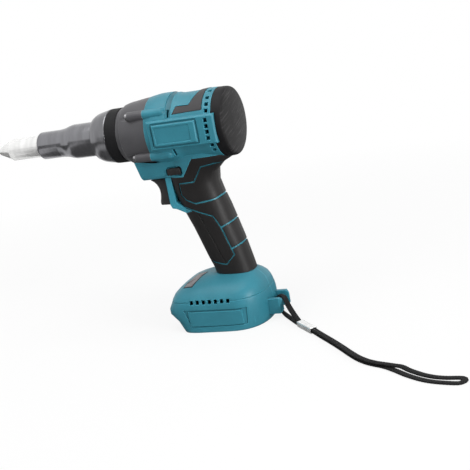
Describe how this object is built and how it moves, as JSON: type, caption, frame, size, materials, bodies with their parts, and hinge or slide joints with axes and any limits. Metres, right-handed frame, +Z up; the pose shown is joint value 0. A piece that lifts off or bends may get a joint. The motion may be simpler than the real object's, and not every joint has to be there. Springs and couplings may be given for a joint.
{
  "type": "battery rivet tool",
  "caption": "Pistol-grip battery rivet tool with a stepped pulling nose, rubber-panelled grip, battery foot and wrist strap.",
  "frame": {"origin": "middle of the tool's length and width, on the plane its foot stands on", "axes": "+X to the rear, away from the nose; +Y to the right-hand shell; +Z up"},
  "size_m": [0.4435, 0.205, 0.2131],
  "materials": {
    "shell_plastic": "satin moulded",
    "grip_rubber": "soft matte",
    "black_plastic": "satin moulded",
    "gearbox_plastic": "satin moulded",
    "lock_ring": "matte",
    "sleeve": "dark anodised",
    "nose_steel": "polished",
    "steel": "ground",
    "copper": "enamelled wire",
    "board": "lacquered",
    "lead_red": "plain",
    "lead_yellow": "plain",
    "bar_plastic": "satin moulded",
    "strap": "braided"
  },
  "bodies": {
    "housing": {"housing_left": "shell_plastic", "housing_right": "shell_plastic", "grip_left": "grip_rubber", "grip_right": "grip_rubber", "insert_left": "black_plastic", "insert_right": "black_plastic", "rear_cap": "black_plastic", "switch_body": "black_plastic", "terminal_block": "black_plastic", "info_plate": "black_plastic", "gearbox_case": "gearbox_plastic", "lock_ring": "lock_ring", "front_sleeve": "sleeve", "collar_nut": "sleeve", "nosepiece": "nose_steel", "strap_ferrule": "nose_steel", "gearbox_screws": "steel", "housing_screws": "steel", "ring_gear": "steel", "thrust_bearing": "steel", "screw_bearing": "steel", "gear_plate": "steel", "front_bearing": "steel", "rear_bearing": "steel", "stator_core": "steel", "stator_coils": "copper", "terminal_blades": "copper", "control_board": "board", "battery_leads": "lead_red", "motor_leads": "lead_yellow", "strap_bar": "bar_plastic", "strap_eye": "strap", "strap_loop": "strap"},
    "trigger": {"trigger": "black_plastic"},
    "selector": {"selector": "black_plastic"},
    "rotor": {"rotor_core": "steel", "motor_shaft": "steel", "sun_gear": "steel", "cooling_fan": "black_plastic"},
    "carrier": {"planet_carrier": "steel", "drive_screw": "steel"},
    "planet_1": {"planet_gear_1": "steel"},
    "planet_2": {"planet_gear_2": "steel"},
    "planet_3": {"planet_gear_3": "steel"},
    "draw": {"draw_nut": "steel", "jaw_case": "steel", "jaw_spring": "steel"},
    "jaw_1": {"jaw_1": "steel"},
    "jaw_2": {"jaw_2": "steel"},
    "jaw_3": {"jaw_3": "steel"},
    "pusher": {"jaw_pusher": "steel"}
  },
  "joints": [
    {"name": "trigger_slide", "type": "slide", "parent": "housing", "child": "trigger", "axis": [1, 0, 0], "range_m": [0, 0.007], "stiffness_N_per_m": 900},
    {"name": "selector_slide", "type": "slide", "parent": "housing", "child": "selector", "axis": [0, 1, 0], "range_m": [-0.003, 0.003]},
    {"name": "rotor_spin", "type": "hinge", "parent": "housing", "child": "rotor", "pos_m": [0.06816, 0, 0.181], "axis": [1, 0, 0], "range_deg": [0, 9000]},
    {"name": "carrier_spin", "type": "hinge", "parent": "housing", "child": "carrier", "pos_m": [0.02066, 0, 0.181], "axis": [1, 0, 0], "range_deg": [0, 1800]},
    {"name": "draw_slide", "type": "slide", "parent": "housing", "child": "draw", "axis": [1, 0, 0], "range_m": [0, 0.02]},
    {"name": "planet_1_spin", "type": "hinge", "parent": "carrier", "child": "planet_1", "pos_m": [0.02496, 0, 0.16825], "axis": [1, 0, 0], "range_deg": [-4800, 0]},
    {"name": "planet_2_spin", "type": "hinge", "parent": "carrier", "child": "planet_2", "pos_m": [0.02496, 0.01104, 0.18738], "axis": [1, 0, 0], "range_deg": [-4800, 0]},
    {"name": "planet_3_spin", "type": "hinge", "parent": "carrier", "child": "planet_3", "pos_m": [0.02496, -0.01104, 0.18738], "axis": [1, 0, 0], "range_deg": [-4800, 0]},
    {"name": "jaw_1_slide", "type": "slide", "parent": "draw", "child": "jaw_1", "axis": [0.9848, 0, -0.1736], "range_m": [0, 0.0025], "deforming": ["jaw_spring"]},
    {"name": "jaw_2_slide", "type": "slide", "parent": "draw", "child": "jaw_2", "axis": [0.9848, 0.1504, 0.0868], "range_m": [0, 0.0025]},
    {"name": "jaw_3_slide", "type": "slide", "parent": "draw", "child": "jaw_3", "axis": [0.9848, -0.1504, 0.0868], "range_m": [0, 0.0025]},
    {"name": "pusher_slide", "type": "slide", "parent": "draw", "child": "pusher", "axis": [1, 0, 0], "range_m": [0, 0.0025]}
  ],
  "couplings": [
    {"joint": "carrier_spin", "follows": "rotor_spin", "ratio": 0.2},
    {"joint": "draw_slide", "follows": "rotor_spin", "m_per_rad": 0.00012732},
    {"joint": "planet_1_spin", "follows": "rotor_spin", "ratio": -0.53333},
    {"joint": "planet_2_spin", "follows": "rotor_spin", "ratio": -0.53333},
    {"joint": "planet_3_spin", "follows": "rotor_spin", "ratio": -0.53333},
    {"joint": "jaw_2_slide", "follows": "jaw_1_slide", "ratio": 1},
    {"joint": "jaw_3_slide", "follows": "jaw_1_slide", "ratio": 1},
    {"joint": "pusher_slide", "follows": "jaw_1_slide", "ratio": 0.98481}
  ]
}
